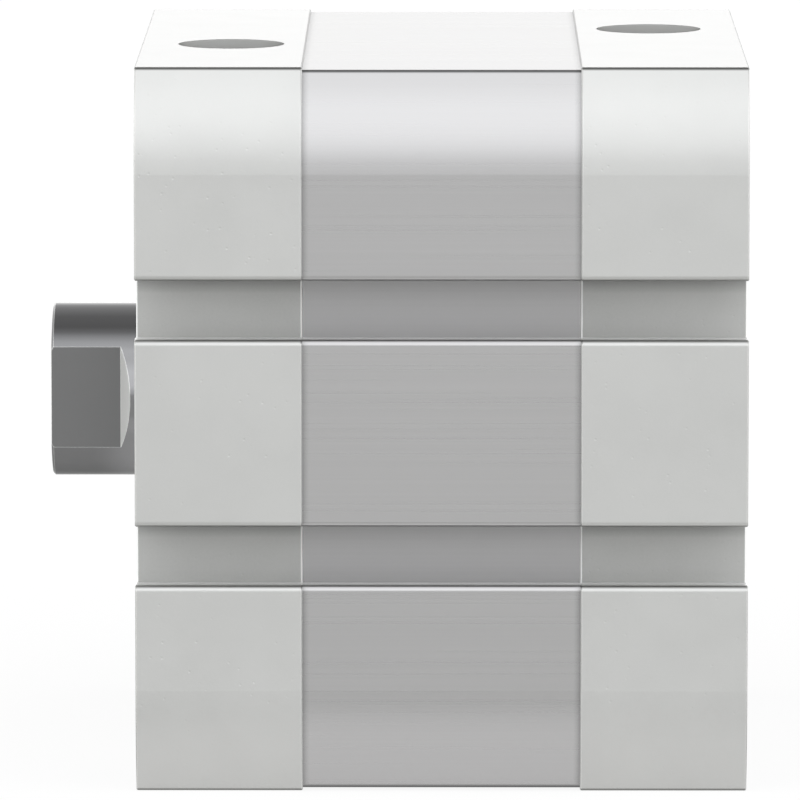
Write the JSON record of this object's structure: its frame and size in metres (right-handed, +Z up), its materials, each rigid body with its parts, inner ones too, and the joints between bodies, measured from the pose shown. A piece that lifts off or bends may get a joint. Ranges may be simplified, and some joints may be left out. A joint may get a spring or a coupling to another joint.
{
  "type": "compact pneumatic cylinder",
  "caption": "Compact double-acting air cylinder: square caps on a slotted barrel, short-stroke round rod with a female thread and spanner flats, threaded air ports on top.",
  "frame": {"origin": "on the rod axis, in the plane of the front cap's mounting face", "axes": "the rod points along -X, +Z is up and the air ports face +Z"},
  "size_m": [0.0635, 0.0654, 0.0654],
  "materials": {
    "cap_aluminium": "anodised, fine matt satin",
    "barrel_aluminium": "extruded and anodised, faint lengthwise streaks",
    "rod_steel": "ground and polished stainless steel",
    "screw_steel": "zinc plated",
    "nitrile_rubber": "moulded, matt",
    "seal_polyurethane": "moulded, satin",
    "cushion_polyurethane": "moulded, matt",
    "bush_bronze": "sintered, bored",
    "piston_aluminium": "turned",
    "guide_acetal": "moulded",
    "magnet_compound": "bonded ferrite, pressed"
  },
  "bodies": {
    "cylinder_body": {"barrel": "barrel_aluminium", "front_cap": "cap_aluminium", "rear_cap": "cap_aluminium", "front_cap_screws": "screw_steel", "rear_cap_screws": "screw_steel", "front_barrel_seal": "nitrile_rubber", "rear_barrel_seal": "nitrile_rubber", "rod_bush": "bush_bronze", "rod_seal": "seal_polyurethane", "rod_wiper": "seal_polyurethane", "front_cushion_ring": "cushion_polyurethane", "rear_cushion_ring": "cushion_polyurethane"},
    "piston_rings": {"piston_front_seal": "seal_polyurethane", "piston_rear_seal": "seal_polyurethane", "piston_guide_ring": "guide_acetal"},
    "piston_and_rod": {"piston_rod": "rod_steel", "piston_front_half": "piston_aluminium", "piston_rear_half": "piston_aluminium", "magnet_ring": "magnet_compound", "piston_screw": "screw_steel", "rod_spigot_seal": "nitrile_rubber"}
  },
  "joints": [
    {"name": "rod_slide", "type": "slide", "parent": "cylinder_body", "child": "piston_rings", "axis": [-1, 0, 0], "range_m": [0, 0.01]},
    {"name": "rod_spin", "type": "hinge", "parent": "piston_rings", "child": "piston_and_rod", "pos_m": [0, 0, 0], "axis": [-1, 0, 0], "continuous": true}
  ]
}
